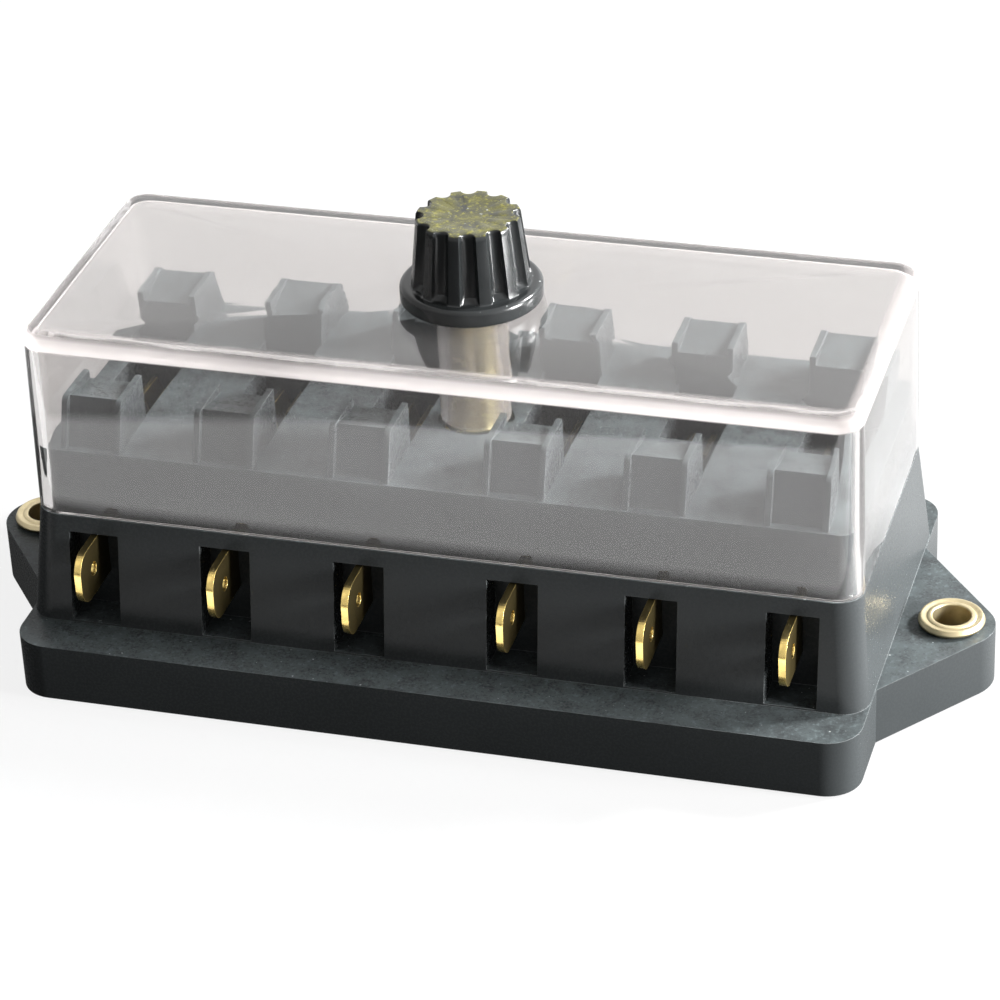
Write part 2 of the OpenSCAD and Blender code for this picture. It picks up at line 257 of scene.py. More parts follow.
def rounded(mesh, radius, segments, angle=28.0):
    """Mesh with its edges rounded. A face attribute named edge is 1 on the rounding."""
    made = scratch("rounding", mesh)
    mesh.materials.clear()
    for k in range(2):
        mesh.materials.append(bpy.data.materials.new(f"mark_{k}"))
    bevel = made.modifiers.new("rounding", "BEVEL")
    bevel.width, bevel.segments = radius * MM, segments
    bevel.limit_method, bevel.angle_limit = "ANGLE", math.radians(angle)
    bevel.use_clamp_overlap = True
    bevel.material = 1
    bevel.miter_outer = "MITER_ARC"
    result = evaluated(made)
    worn_and_highlit = result.attributes.new("edge", "FLOAT", "FACE")
    for face in result.polygons:
        worn_and_highlit.data[face.index].value = float(face.material_index)
        face.material_index = 0
    for k in range(2):
        bpy.data.materials.remove(bpy.data.materials[f"mark_{k}"])
    return result


def turned(profile, steps=96):
    """Mesh of a closed or open profile of (radius, height) in millimetres, turned round the Z axis."""
    mesh, work = bpy.data.meshes.new("turned"), bmesh.new()
    rings = []
    for radius, height in profile:
        if radius < 1e-6:
            rings.append([work.verts.new((0, 0, height * MM))])
            continue
        ring = []
        for k in range(steps):
            a = 2 * math.pi * k / steps
            ring.append(work.verts.new((radius * MM * math.cos(a), radius * MM * math.sin(a), height * MM)))
        rings.append(ring)
    for low, high in zip(rings, rings[1:]):
        for k in range(steps):
            n = (k + 1) % steps
            if len(low) == 1:
                work.faces.new((low[0], high[n], high[k]))
            elif len(high) == 1:
                work.faces.new((low[k], low[n], high[0]))
            else:
                work.faces.new((low[k], low[n], high[n], high[k]))
    bmesh.ops.recalc_face_normals(work, faces=work.faces)
    work.to_mesh(mesh)
    work.free()
    return mesh


def arc(centre_r, centre_z, radius, start, end, steps):
    """Points of an arc in a turned profile, angles in degrees from the outward direction."""
    points = []
    for k in range(steps + 1):
        a = math.radians(start + (end - start) * k / steps)
        points.append((centre_r + radius * math.cos(a), centre_z + radius * math.sin(a)))
    return points


# ---------------------------------------------------------------- geometry nodes


def new_tree(name, inputs):
    """Geometry node tree with named inputs. Returns its graph and the inputs' sockets by name."""
    tree = bpy.data.node_groups.new(name, "GeometryNodeTree")
    tree.interface.new_socket("Geometry", in_out="INPUT", socket_type="NodeSocketGeometry")
    for label, kind, value in inputs:
        item = tree.interface.new_socket(label, in_out="INPUT", socket_type=kind)
        if value is not None:
            item.default_value = value
    tree.interface.new_socket("Geometry", in_out="OUTPUT", socket_type="NodeSocketGeometry")
    graph = Graph(tree)
    entry = tree.nodes.new("NodeGroupInput")
    return graph, {s.name: Socket(graph, s) for s in entry.outputs if s.name}


def run_tree(graph, mesh, values):
    """Runs a geometry tree on a mesh and returns the plain mesh that comes out."""
    made = scratch(graph.tree.name, mesh)
    modifier = made.modifiers.new("tree", "NODES")
    modifier.node_group = graph.tree
    for item in graph.tree.interface.items_tree:
        if item.item_type == "SOCKET" and item.in_out == "INPUT" and item.name in values:
            modifier[item.identifier] = values[item.name]
    return evaluated(made)


def leave(graph, geometry, material):
    """Ends a tree: realized instances, with a material."""
    real = graph.node("GeometryNodeRealizeInstances", None, {0: geometry})
    done = graph.node("GeometryNodeSetMaterial", None, {"Geometry": real, "Material": material})
    exit_node = graph.tree.nodes.new("NodeGroupOutput")
    graph.tree.links.new(done.output, exit_node.inputs[0])


def vector(graph, x=0.0, y=0.0, z=0.0):
    return graph.node("ShaderNodeCombineXYZ", None, {0: x, 1: y, 2: z})


def row_tree(material):
    """Copies the piece that comes in to every way: six in front, and six turned round behind."""
    numbers = [("Pitch", "NodeSocketFloat", 0.0156), ("Middle pitch", "NodeSocketFloat", 0.0176)]
    graph, at = new_tree("terminals_along_the_row", numbers)
    index = graph.node("GeometryNodeInputIndex")
    behind = index.above(5.5)
    step = index - behind * 6.0 - 2.5
    right = step.above(0.0) * 2.0 - 1.0
    x = step * at["Pitch"] + right * (at["Middle pitch"] - at["Pitch"]) * 0.5
    points = graph.node("GeometryNodePoints", None, {"Count": 12, "Position": vector(graph, x)})
    copies = graph.node(
        "GeometryNodeInstanceOnPoints",
        None,
        {"Points": points, "Instance": at["Geometry"], "Rotation": vector(graph, z=behind * math.pi)},
    )
    leave(graph, copies, material)
    return graph


def pair_tree(material):
    """Copies the piece that comes in to both ends, the left one turned round."""
    graph, at = new_tree("pair_at_the_ends", [("Reach", "NodeSocketFloat", 0.054)])
    side = graph.node("GeometryNodeInputIndex") * 2.0 - 1.0
    points = graph.node("GeometryNodePoints", None, {"Count": 2, "Position": vector(graph, side * at["Reach"])})
    turn = vector(graph, z=(1.0 - side) * (math.pi / 2))
    copies = graph.node(
        "GeometryNodeInstanceOnPoints",
        None,
        {"Points": points, "Instance": at["Geometry"], "Rotation": turn},
    )
    leave(graph, copies, material)
    return graph


def flute_tree(material):
    """Cuts round finger flutes into a turned knob, between its skirt and its top."""
    numbers = [
        ("Flutes", "NodeSocketFloat", 12.0),
        ("Depth", "NodeSocketFloat", 0.001),
        ("Flute radius", "NodeSocketFloat", 0.0011),
        ("Grip start", "NodeSocketFloat", 0.045),
        ("Run out", "NodeSocketFloat", 0.0004),
        ("Grip radius", "NodeSocketFloat", 0.0067),
        ("Top radius", "NodeSocketFloat", 0.0058),
        ("Top", "NodeSocketFloat", 0.0529),
    ]
    graph, at = new_tree("finger_flutes", numbers)
    place = graph.node("GeometryNodeInputPosition")
    x, y, z = (graph.node("ShaderNodeSeparateXYZ", None, {0: place}, k) for k in range(3))
    height = ((z - at["Grip start"]) / (at["Top"] - at["Grip start"])).clamped()
    skin = at["Grip radius"] + (at["Top radius"] - at["Grip radius"]) * height
    size = skin / at["Grip radius"]
    turn = y.maths("ARCTAN2", x) / (2 * math.pi) * at["Flutes"]
    across = (turn.maths("FLOORED_MODULO", 1.0) - 0.5).maths("ABSOLUTE") * (2 * math.pi) / at["Flutes"] * skin
    groove = at["Flute radius"] * size
    bulge = (groove * groove - across * across).maths("MAXIMUM", 0.0) ** 0.5
    cut = (bulge - groove + at["Depth"] * size).maths("MAXIMUM", 0.0)
    start = ((z - at["Grip start"]) / at["Run out"]).clamped()
    share = 1.0 - cut / skin * start
    moved = vector(graph, x * share, y * share, z)
    geometry = graph.node("GeometryNodeSetPosition", None, {"Geometry": at["Geometry"], "Position": moved})
    leave(graph, geometry, material)
    return graph


def thread_tree(material):
    """A screw thread: a sharp profile swept along a rising spiral."""
    numbers = [
        ("Radius", "NodeSocketFloat", 0.0023),
        ("Pitch", "NodeSocketFloat", 0.0008),
        ("Turns", "NodeSocketFloat", 14.0),
        ("Low end", "NodeSocketFloat", 0.0168),
        ("Depth", "NodeSocketFloat", 0.00045),
    ]
    graph, at = new_tree("screw_thread", numbers)
    spiral = graph.node(
        "GeometryNodeCurveSpiral",
        None,
        {
            "Resolution": 64,
            "Rotations": at["Turns"],
            "Start Radius": at["Radius"],
            "End Radius": at["Radius"],
            "Height": at["Turns"] * at["Pitch"],
        },
    )
    lifted = graph.node(
        "GeometryNodeTransform", None, {"Geometry": spiral, "Translation": vector(graph, z=at["Low end"])}
    )
    upright = graph.node(
        "GeometryNodeSetCurveNormal", {"mode": "Z_UP"}, {0: lifted}
    )
    profile = graph.node(
        "GeometryNodeCurvePrimitiveCircle", {"mode": "RADIUS"}, {"Resolution": 4, "Radius": at["Depth"]}
    )
    swept = graph.node(
        "GeometryNodeCurveToMesh", None, {"Curve": upright, "Profile Curve": profile, "Fill Caps": True}
    )
    whole = graph.tree.nodes.new("GeometryNodeJoinGeometry")
    graph.tree.links.new(at["Geometry"].output, whole.inputs[0])
    graph.tree.links.new(swept.output, whole.inputs[0])
    leave(graph, Socket(graph, whole.outputs[0]), material)
    return graph


# ---------------------------------------------------------------- materials


def black_moulding(name, look, dust_and_sheen_from=-1.0):
    """Satin black moulded plastic with a fine spark grain, paler edges that are part wear and part painted highlight,
    and on faces that look up a pale share that is part dust and part painted sheen.
    """
    f = Finish(name)
    grain = f.noise(f.place, look.grain, 2.0, 0.6)
    fine = f.noise(f.place, look.grain * 0.45, 1.0, 0.5)
    flow = f.noise(f.place, 14.0, 3.0, 0.5)
    speck = f.noise(f.place, 0.55, 2.0, 0.7).ramp(0.56, 0.68)
    up = f.facing_up().ramp(0.55, 0.95)
    edge = f.node("ShaderNodeAttribute", {"attribute_name": "edge"}, None, "Fac")
    settled = f.noise(f.place, 2.2, 4.0, 0.65).ramp(0.3, 0.75)
    high = f.node("ShaderNodeSeparateXYZ", None, {0: f.place}, 2).ramp(dust_and_sheen_from * MM, dust_and_sheen_from * MM + 0.0005)
    # Pale share on faces that look up: part dust, part painted sheen that lightens level faces as reflected light
    # would.
    dust_and_sheen = up * high * (settled * 0.55 + speck * 0.45) * look.dust_and_sheen
    lint = up * f.noise(f.place, 0.42, 1.0, 0.5).ramp(0.765, 0.785)
    colour = f.mix(flow.ramp(0.3, 0.7), rgba(look.black), rgba([c * 1.15 for c in look.black]))
    # Paler rounded edges: part wear, part painted highlight along the edges.
    colour = f.mix((edge * look.worn_and_highlit * flow.ramp(0.35, 0.6)).clamped(), colour, (0.16, 0.17, 0.172, 1.0))
    colour = f.mix(dust_and_sheen.clamped(), colour, rgba(look.dust_and_sheen_colour))
    colour = f.mix(lint * 0.8, colour, (0.42, 0.44, 0.44, 1.0))
    rough = f.node("ShaderNodeMath", {"operation": "MULTIPLY_ADD"}, {0: grain, 1: 0.22, 2: look.roughness - 0.11})
    rough = rough + dust_and_sheen * 0.2 - edge * 0.08
    normal = f.bump(grain * 0.7 + fine * 0.3, look.grain_depth)
    return f.surface(
        f.principled(
            Base_Color=colour, Roughness=rough.clamped(), Specular_IOR_Level=look.sheen, Normal=normal
        )
    )


def rolled_brass(name, look, roughness, brass, pocket_shade=0.0):
    """Brass with rolling lines, faint tarnish and brighter edges. The last argument paints shade: the tarnish colour
    over the brass in the pockets and on faces that don't look forward or back.
    """
    f = Finish(name)
    stretched = f.node("ShaderNodeMapping", None, {"Vector": f.place, "Scale": (1.0, 0.12, 1.0)})
    lines = f.noise(stretched, 0.16, 3.0, 0.6)
    cloud = f.noise(f.place, 1.8, 3.0, 0.6)
    edge = f.node("ShaderNodeAttribute", {"attribute_name": "edge"}, None, "Fac")
    y = f.node("ShaderNodeSeparateXYZ", None, {0: f.place}, 1).maths("ABSOLUTE")
    facing = f.node("ShaderNodeNewGeometry", out="True Normal")
    facing = f.node("ShaderNodeSeparateXYZ", None, {0: facing}, 1).maths("ABSOLUTE")
    tarnish_and_shade = cloud.ramp(0.45, 0.78) * look.tarnish * (1.0 - edge * 0.8)
    # Painted shade: the brass inside the pockets, and the blades' faces that don't look forward or back, take the
    # tarnish colour.
    tarnish_and_shade = tarnish_and_shade.maths("MAXIMUM", (1.0 - y.ramp(0.0155, 0.0175) * facing.ramp(0.3, 0.6)) * pocket_shade)
    colour = f.mix(tarnish_and_shade.clamped(), rgba(brass), rgba(look.tarnish_and_shade))
    colour = f.mix((edge * 0.45).clamped(), colour, rgba([min(c * 1.25, 1.0) for c in brass]))
    rough = lines * 0.16 + tarnish_and_shade * 0.25 + (roughness - 0.08)
    normal = f.bump(lines, 0.004)
    return f.surface(
        f.principled(Base_Color=colour, Metallic=1.0, Roughness=rough.clamped(), Normal=normal)
    )


def clear_moulding(name, look, half_x, half_y):
    """Clear moulded plastic: glass-like with a little haze, faint flow waves and rub marks."""
    f = Finish(name)
    wave = f.noise(f.place, 16.0, 1.0, 0.4)
    scuffs = f.node("ShaderNodeMapping", None, {"Vector": f.place, "Rotation": (0.3, 0.2, 0.5), "Scale": (1.0, 0.06, 0.3)})
    scuffs = f.noise(scuffs, 0.35, 2.0, 0.5).ramp(0.62, 0.72)
    patch = f.noise(f.place, 9.0, 3.0, 0.6).ramp(0.5, 0.75)
    rough = patch * 0.05 + scuffs * 0.08 + look.roughness
    normal = f.bump(wave, look.waviness)
    body = f.principled(
        Base_Color=rgba(look.tint),
        Roughness=rough,
        IOR=look.bend,
        Transmission_Weight=1.0 - look.haze,
        Normal=normal,
    )
    x, y, z = (f.node("ShaderNodeSeparateXYZ", None, {0: f.place}, k) for k in range(3))
    beyond_x = (x.maths("ABSOLUTE") - (half_x - look.corner) * MM).maths("MAXIMUM", 0.0)
    beyond_y = (y.maths("ABSOLUTE") - (half_y - look.corner) * MM).maths("MAXIMUM", 0.0)
    beyond = (beyond_x * beyond_x + beyond_y * beyond_y) ** 0.5
    rim = beyond.ramp((look.corner - 2.2) * MM, (look.corner - 1.7) * MM)
    rim = rim * z.ramp((look.plate - 0.25) * MM, look.plate * MM) * look.edge_frost
    upright = f.wall_share()
    rim = rim * (upright * 0.6 + 0.4)
    tube = (1.0 - ((x * x + y * y) ** 0.5).ramp(0.0043, 0.0048)) * (1.0 - z.ramp(0.0405, 0.041)) * look.tube_frost
    frost = f.node("ShaderNodeBsdfTranslucent", None, {"Color": rgba(look.frost)})
    pale = f.principled(Base_Color=rgba(look.frost), Roughness=0.5)
    frost = f.node("ShaderNodeMixShader", None, {0: 0.35, 1: frost, 2: pale})
    body = f.node("ShaderNodeMixShader", None, {0: (rim + tube).clamped(), 1: body, 2: frost})
    clear = f.node("ShaderNodeBsdfTransparent", None, {"Color": (0.9, 0.91, 0.92, 1.0)})
    shadow = f.node("ShaderNodeLightPath", out="Is Shadow Ray")
    return f.surface(f.node("ShaderNodeMixShader", None, {0: shadow, 1: body, 2: clear}))


# ---------------------------------------------------------------- settings


class HousingLook(bpy.types.PropertyGroup):
    black: FloatVectorProperty(
        name="Black", description="Colour of the moulded base", subtype="COLOR", size=3, default=(0.029, 0.032, 0.033)
    )
    roughness: FloatProperty(name="Roughness", description="Mean roughness of the moulding", default=0.27, min=0.05, max=1)
    sheen: FloatProperty(name="Sheen", description="Specular level of the moulding", default=0.1, min=0, max=1)
    grain: FloatProperty(name="Grain size", description="Size of the spark grain in millimetres", default=0.34, min=0.05)
    grain_depth: FloatProperty(name="Grain depth", description="Depth of the grain in millimetres", default=0.008, min=0)
    # Pale share on faces that look up: part dust, part painted sheen.
    dust_and_sheen: FloatProperty(name="Dust", description="Share of dust on faces that look up", default=0.45, min=0, max=1)
    dust_and_sheen_colour: FloatVectorProperty(
        name="Dust colour", description="Colour of the dust", subtype="COLOR", size=3, default=(0.15, 0.185, 0.19)
    )
    # Paler edges: part wear, part painted highlight.
    worn_and_highlit: FloatProperty(name="Worn edges", description="How much paler the edges are", default=0.7, min=0, max=1)
    edge_round: FloatProperty(name="Edge round", description="Radius of the moulded edges in millimetres", default=0.28, min=0.02)


class BrassLook(bpy.types.PropertyGroup):
    strip: FloatVectorProperty(
        name="Strip", description="Colour of the terminal strip", subtype="COLOR", size=3, default=(0.74, 0.55, 0.19)
    )
    eyelet: FloatVectorProperty(
        name="Eyelet", description="Colour of the mounting eyelets", subtype="COLOR", size=3, default=(0.5, 0.425, 0.265)
    )
    screw: FloatVectorProperty(
        name="Screw", description="Colour of the cover screw", subtype="COLOR", size=3, default=(0.6, 0.55, 0.3)
    )
    tarnish_and_shade: FloatVectorProperty(
        # Also the colour of the painted shade on the terminals.
        name="Stain", description="Colour of the tarnish", subtype="COLOR", size=3, default=(0.06, 0.048, 0.022)
    )
    tarnish: FloatProperty(name="Tarnish", description="Amount of tarnish", default=0.35, min=0, max=1)
    strip_edge: FloatProperty(name="Strip edge", description="Rounding of the stamped edges in millimetres", default=0.09, min=0.01)
    thread_pitch: FloatProperty(name="Thread pitch", description="Rise of the screw's thread per turn in millimetres", default=0.8, min=0.3)


class CoverLook(bpy.types.PropertyGroup):
    tint: FloatVectorProperty(
        name="Tint", description="Colour of the clear plastic", subtype="COLOR", size=3, default=(0.73, 0.71, 0.7)
    )
    haze: FloatProperty(name="Haze", description="Share of light that the plastic scatters", default=0.015, min=0, max=0.5)
    frost: FloatVectorProperty(
        name="Frost", description="Colour of the light in the top plate's edge", subtype="COLOR", size=3, default=(0.48, 0.445, 0.435)
    )
    edge_frost: FloatProperty(name="Edge frost", description="Share of light that the plate's edge scatters", default=0.8, min=0, max=1)
    tube_frost: FloatProperty(name="Tube frost", description="Share of light that the tube scatters", default=0.1, min=0, max=1)
    plate: FloatProperty(name="Plate", description="Height at which the top plate starts, in millimetres", default=40.75, min=0)
    bend: FloatProperty(name="Index", description="Refractive index", default=1.5, min=1.3, max=1.7)
    roughness: FloatProperty(name="Roughness", description="Roughness of the polished faces", default=0.03, min=0, max=0.4)
    waviness: FloatProperty(name="Waviness", description="Height of the flow waves in millimetres", default=0.05, min=0)
    wall: FloatProperty(name="Wall", description="Thickness of the walls in millimetres", default=1.2, min=0.5)
    top: FloatProperty(name="Top", description="Thickness of the top plate in millimetres", default=2.0, min=0.5)
    corner: FloatProperty(name="Corner", description="Radius of the upright corners in millimetres", default=3.0, min=1)
    roll: FloatProperty(name="Top edge", description="Radius round the top in millimetres", default=1.6, min=0.2)
    lean: FloatProperty(name="Lean", description="How far the walls lean in over their height, in millimetres", default=0.2, min=0)
    tube: FloatProperty(name="Tube", description="Outside diameter of the tube in millimetres", default=8.0, min=6)
    bore: FloatProperty(name="Bore", description="Bore of the tube in millimetres", default=5.8, min=3)


class KnobLook(bpy.types.PropertyGroup):
    flutes: IntProperty(name="Flutes", description="Number of finger flutes", default=12, min=6)
    flute_depth: FloatProperty(name="Flute depth", description="Depth of a flute in millimetres", default=0.95, min=0.1)
    skirt: FloatProperty(name="Skirt", description="Thickness of the skirt in millimetres", default=2.0, min=0.5)
    grip: FloatProperty(name="Grip", description="Diameter of the grip above the skirt in millimetres", default=13.4, min=5)
    grip_top: FloatProperty(name="Grip top", description="Diameter of the grip's top in millimetres", default=11.6, min=4)


class StageLook(bpy.types.PropertyGroup):
    floor: FloatVectorProperty(
        name="Floor", description="Colour of the floor", subtype="COLOR", size=3, default=(0.5, 0.5, 0.5)
    )
    glow: FloatProperty(name="Glow", description="Share of the floor that shows as plain white", default=0.85, min=0, max=1)
    bounce: FloatProperty(name="Bounce", description="Share of the floor's colour that lights the part", default=0.2, min=0)
    sky: FloatProperty(name="Sky", description="Strength of the room's light", default=0.26, min=0)
    key: FloatProperty(name="Key", description="Power of the main lamp in watts", default=38.0, min=0)
    bright: FloatProperty(name="Bright side", description="How bright gloss sees the room beside the lamp", default=1.8, min=0)
    # Band, right, behind and shade paint light and shadow on the table, seen only in reflections.
    band: FloatProperty(name="Band", description="How bright gloss sees the table in front, past the shadow", default=3.6, min=0)
    right: FloatProperty(name="Right", description="How bright gloss sees the table to the right", default=2.8, min=0)
    behind: FloatProperty(name="Behind", description="How bright gloss sees the table behind", default=1.2, min=0)
    dim: FloatProperty(name="Dim side", description="How bright gloss sees the room away from the lamp", default=0.9, min=0)
    shade: FloatProperty(name="Shade", description="How bright gloss sees the table in the part's shadow", default=0.12, min=0)
    turn: FloatProperty(name="Turn", description="Camera's bearing in degrees", default=17.18)
    height: FloatProperty(name="Height", description="Camera's elevation in degrees", default=30.98)
    roll: FloatProperty(name="Roll", description="Camera's roll in degrees", default=-2.74)
    distance: FloatProperty(name="Distance", description="Camera's distance from its target", subtype="DISTANCE", default=0.4415)
    lens: FloatProperty(name="Lens", description="Focal length in millimetres", default=140.04)
    target: FloatVectorProperty(
        name="Target", description="Point that the camera looks at", subtype="XYZ", size=3, default=(0.0021, 0.0, 0.01675)
    )


LOOKS = {
    "fuse_housing": HousingLook,
    "fuse_brass": BrassLook,
    "fuse_cover": CoverLook,
    "fuse_knob": KnobLook,
    "fuse_stage": StageLook,
}


# ---------------------------------------------------------------- operators


class MakeHousing(bpy.types.Operator):
    """Moulded base with rounded edges, over the CAD base"""

    bl_idname = "fuse.housing"
    bl_label = "Base housing"

    def execute(self, context):
        look = context.scene.fuse_housing
        mesh = rounded(merged_copy("base_housing"), look.edge_round, 2)
        material = black_moulding("black_moulding", look)
        settle(mesh, "moulded_base", material, "base", ["base_housing"], 50.0, True)
        return {"FINISHED"}


class MakeTerminals(bpy.types.Operator):
    """Twelve stamped brass terminals along the row of fuses"""

    bl_idname = "fuse.terminals"
    bl_label = "Terminals"

    def execute(self, context):
        look = context.scene.fuse_brass
        one = rounded(merged_copy("front_terminal_1"), look.strip_edge, 2)
        one.transform(Matrix.Translation((-middle("front_terminal_1").x, 0, 0)))
        # 0.97 paints shade on the terminals in the pockets and on their side faces.
        brass = rolled_brass("terminal_brass_finish", look, 0.24, look.strip, 0.97)
        values = {
            "Pitch": middle("front_terminal_2").x - middle("front_terminal_1").x,
            "Middle pitch": middle("front_terminal_4").x - middle("front_terminal_3").x,
        }
        mesh = run_tree(row_tree(brass), one, values)
        settle(mesh, "brass_terminals", brass, "base", FRONT + REAR, 50.0, True)
        return {"FINISHED"}


class MakeEyelets(bpy.types.Operator):
    """Rolled brass eyelets in both lugs"""

    bl_idname = "fuse.eyelets"
    bl_label = "Eyelets"

    def execute(self, context):
        look = context.scene.fuse_brass
        low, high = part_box("right_eyelet")
        bottom, top = low.z / MM, high.z / MM
        outer = (high.x - low.x) / 2 / MM
        bore, flange = 2.15, 0.9
        lug = top - flange
        profile = [(bore, bottom + 0.3), *arc(bore + 0.3, bottom + 0.3, 0.3, 180, 270, 5)]
        profile += [*arc(bore + 0.95, bottom + 0.25, 0.25, -90, 90, 8), (bore + 0.5, bottom + 0.5)]
        profile += [(bore + 0.5, lug + 0.01), (outer - 0.3, lug + 0.01)]
        profile += arc(outer - 0.34, lug + 0.34, 0.33, -60, 40, 8)
        profile += arc(outer - 0.36, top - 0.2, 0.19, 30, 90, 5)
        profile += [(outer - 0.55, top - 0.03), (outer - 0.7, top - 0.12), (outer - 0.95, top - 0.14)]
        profile += [(bore + 0.62, top - 0.1), (bore + 0.42, top - 0.02), (bore + 0.24, top)]
        profile += arc(bore + 0.18, top - 0.18, 0.18, 80, 180, 8)
        profile += [(bore, bottom + 0.3)]
        one = turned(profile, 96)
        work = bmesh.new()
        work.from_mesh(one)
        bmesh.ops.remove_doubles(work, verts=work.verts, dist=2e-6)
        bmesh.ops.recalc_face_normals(work, faces=work.faces)
        work.to_mesh(one)
        work.free()
        brass = rolled_brass("eyelet_brass_finish", look, 0.38, look.eyelet)
        mesh = run_tree(pair_tree(brass), one, {"Reach": middle("right_eyelet").x})
        settle(mesh, "rolled_eyelets", brass, "base", ["left_eyelet", "right_eyelet"], 50.0)
        return {"FINISHED"}


class MakeInsert(bpy.types.Operator):
    """Turned brass insert for the cover screw"""

    bl_idname = "fuse.insert"
    bl_label = "Threaded insert"

    def execute(self, context):
        look = context.scene.fuse_brass
        low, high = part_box("threaded_insert")
        bottom, top = low.z / MM, high.z / MM
        outer, bore = (high.x - low.x) / 2 / MM, 2.56
        profile = [(bore + 0.3, bottom), (outer - 0.2, bottom), (outer, bottom + 0.2), (outer, top - 0.3)]
        profile += [(outer - 0.3, top), (bore + 0.45, top), (bore, top - 0.45), (bore, bottom + 0.3), (bore + 0.3, bottom)]
        mesh = turned(profile, 96)
        work = bmesh.new()
        work.from_mesh(mesh)
        bmesh.ops.remove_doubles(work, verts=work.verts, dist=2e-6)
        bmesh.ops.recalc_face_normals(work, faces=work.faces)
        work.to_mesh(mesh)
        work.free()
        brass = rolled_brass("turned_brass_finish", look, 0.26, look.strip)
        settle(mesh, "screw_insert", brass, "base", ["threaded_insert"])
        return {"FINISHED"}


class MakeCover(bpy.types.Operator):
    """Clear box cover with its rounded top edge and the tube for the screw"""

    bl_idname = "fuse.cover"
    bl_label = "Clear cover"

    def execute(self, context):
        look = context.scene.fuse_cover
        low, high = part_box("cover")
        half_x, half_y = high.x / MM, high.y / MM
        rim, top = low.z / MM, high.z / MM
        tube_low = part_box("retaining_ring")[1].z / MM + 0.2
        steps = 10

        def loop(inset, height, corner):
            """Points of a rectangle with round corners, the same count for every loop."""
            points = []
            x, y, r = half_x - inset, half_y - inset, max(corner, 0.05)
            for quarter, (sx, sy) in enumerate(((1, 1), (-1, 1), (-1, -1), (1, -1))):
                for k in range(steps + 1):
                    a = math.radians(90 * quarter + 90 * k / steps)
                    points.append((sx * (x - r) + r * math.cos(a), sy * (y - r) + r * math.sin(a), height))
                nx, ny = ((-1, 1), (-1, -1), (1, -1), (1, 1))[quarter]
                start = points[-1]
                end = (nx * (x - r) + r * math.cos(math.radians(90 * quarter + 90)), ny * (y - r) + r * math.sin(math.radians(90 * quarter + 90)))
                pieces = 12 if quarter in (0, 2) else 6
                for k in range(1, pieces):
                    points.append((start[0] + (end[0] - start[0]) * k / pieces, start[1] + (end[1] - start[1]) * k / pieces, height))
            return points

        def ring(radius, height, like):
            return [(radius * math.cos(math.atan2(y, x)), radius * math.sin(math.atan2(y, x)), height) for x, y, _ in like]

        lean, wall, roll, foot = look.lean, look.wall, look.roll, 0.25
        slope = lean / (top - rim)
        loops = []
        for k in range(5):
            a = math.radians(90 * k / 4)
            loops.append(loop(foot * (1 - math.sin(a)), rim + foot * (1 - math.cos(a)), look.corner - foot * (1 - math.sin(a))))
        for k in range(1, 4):
            height = rim + foot + (top - roll - rim - foot) * k / 4
            loops.append(loop(slope * (height - rim), height, look.corner))
        for k in range(9):
            a = math.radians(90 * k / 8)
            inset = lean + roll * (1 - math.cos(a))
            loops.append(loop(inset, top - roll + roll * math.sin(a), look.corner - roll * (1 - math.cos(a))))
        outline = loops[-1]
        tube, bore = look.tube / 2, look.bore / 2
        loops.append(ring(bore + 0.3, top, outline))
        for k in range(1, 4):
            a = math.radians(30 * k)
            loops.append(ring(bore + 0.3 * (1 - math.sin(a)), top - 0.3 * (1 - math.cos(a)), outline))
        loops.append(ring(bore, tube_low + 0.25, outline))
        for k in range(1, 4):
            a = math.radians(30 * k)
            loops.append(ring(bore + 0.25 * (1 - math.cos(a)), tube_low + 0.25 * (1 - math.sin(a)), outline))
        for k in range(4):
            a = math.radians(30 * k)
            loops.append(ring(tube - 0.35 * (1 - math.sin(a)), tube_low + 0.35 * (1 - math.cos(a)), outline))
        ceiling = top - look.top
        for k in range(5):
            a = math.radians(90 * k / 4)
            loops.append(ring(tube + 0.6 * (1 - math.cos(a)), ceiling - 0.6 * (1 - math.sin(a)), outline))
        inner = look.corner - wall
        for k in range(6):
            a = math.radians(90 * k / 5)
            inset = wall + lean + 0.5 * (1 - math.sin(a))
            loops.append(loop(inset, ceiling - 0.5 * (1 - math.cos(a)), inner + 0.0 - 0.5 * (1 - math.sin(a)) + 0.3))
        for k in range(1, 4):
            height = ceiling - 0.5 + (rim + foot - ceiling + 0.5) * k / 4
            loops.append(loop(wall + slope * (height - rim), height, inner + 0.3))
        for k in range(5):
            a = math.radians(90 * k / 4)
            loops.append(loop(wall - foot * (1 - math.cos(a)), rim + foot * (1 - math.sin(a)), inner + 0.3 + foot * (1 - math.cos(a))))
        mesh, work = bpy.data.meshes.new("cover"), bmesh.new()
        rows = [[work.verts.new(Vector(p) * MM) for p in points] for points in loops]
        rows.append(rows[0])
        for lower, upper in zip(rows, rows[1:]):
            count = len(lower)
            for k in range(count):
                n = (k + 1) % count
                work.faces.new((lower[k], lower[n], upper[n], upper[k]))
        bmesh.ops.remove_doubles(work, verts=work.verts, dist=2e-6)
        bmesh.ops.recalc_face_normals(work, faces=work.faces)
        work.to_mesh(mesh)
        work.free()
        material = clear_moulding("clear_moulding", look, half_x, half_y)
        settle(mesh, "clear_cover", material, "cover", ["cover"], 35.0)
        return {"FINISHED"}


